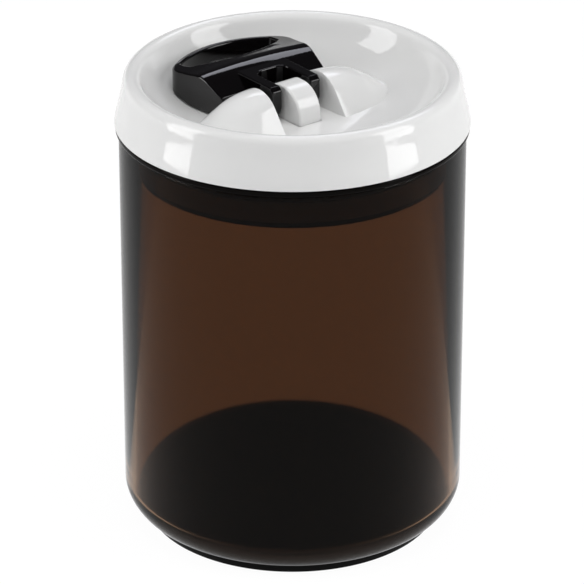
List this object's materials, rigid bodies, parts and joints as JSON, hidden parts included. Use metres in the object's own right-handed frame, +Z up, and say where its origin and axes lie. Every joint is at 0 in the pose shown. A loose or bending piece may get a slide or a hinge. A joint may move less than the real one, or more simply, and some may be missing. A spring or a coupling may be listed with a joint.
{
  "type": "coffee canister",
  "caption": "Airtight round coffee canister: see-through brown jar and white dished lid whose flip-up cam handle lifts a seal plate and squeezes a gasket against the jar wall.",
  "frame": {"origin": "centre of the foot ring's underside, on the surface the canister stands on", "axes": "+Z up along the jar's axis, X along the handle's hinge pin, +Y towards the closed handle's finger hole"},
  "size_m": [0.123, 0.123, 0.1675],
  "materials": {
    "tinted_plastic": "clear brown acrylic, polished",
    "dark_plastic": "dark brown-black moulded plastic, glossy",
    "white_plastic": "white moulded plastic, glossy",
    "handle_plastic": "near-black brown tinted plastic, high gloss",
    "silicone": "dark grey silicone, satin",
    "steel": "stainless steel"
  },
  "bodies": {
    "jar": {"jar": "tinted_plastic"},
    "lid": {"lid_base": "dark_plastic", "lid_cover": "white_plastic", "base_screws": "steel", "gasket": "silicone", "return_spring": "steel", "stem_seal_ring": "silicone"},
    "stem": {"stem": "white_plastic", "hinge_pin": "steel", "seal_plate": "dark_plastic", "plate_screw": "steel", "plate_washer": "steel", "screw_cap": "dark_plastic"},
    "handle": {"handle": "handle_plastic"}
  },
  "joints": [
    {"name": "lid_lift", "type": "slide", "parent": "jar", "child": "lid", "axis": [0, 0, 1], "range_m": [0, 0.06]},
    {"name": "stem_slide", "type": "slide", "parent": "lid", "child": "stem", "axis": [0, 0, 1], "range_m": [-0.00281, 0], "deforming": ["gasket", "return_spring"]},
    {"name": "handle_flip", "type": "hinge", "parent": "stem", "child": "handle", "pos_m": [0, 0.0021, 0.1588], "axis": [1, 0, 0], "range_deg": [0, 90]}
  ],
  "couplings": [
    {"joint": "stem_slide", "follows": "handle_flip", "m_per_rad": -0.0017825}
  ]
}
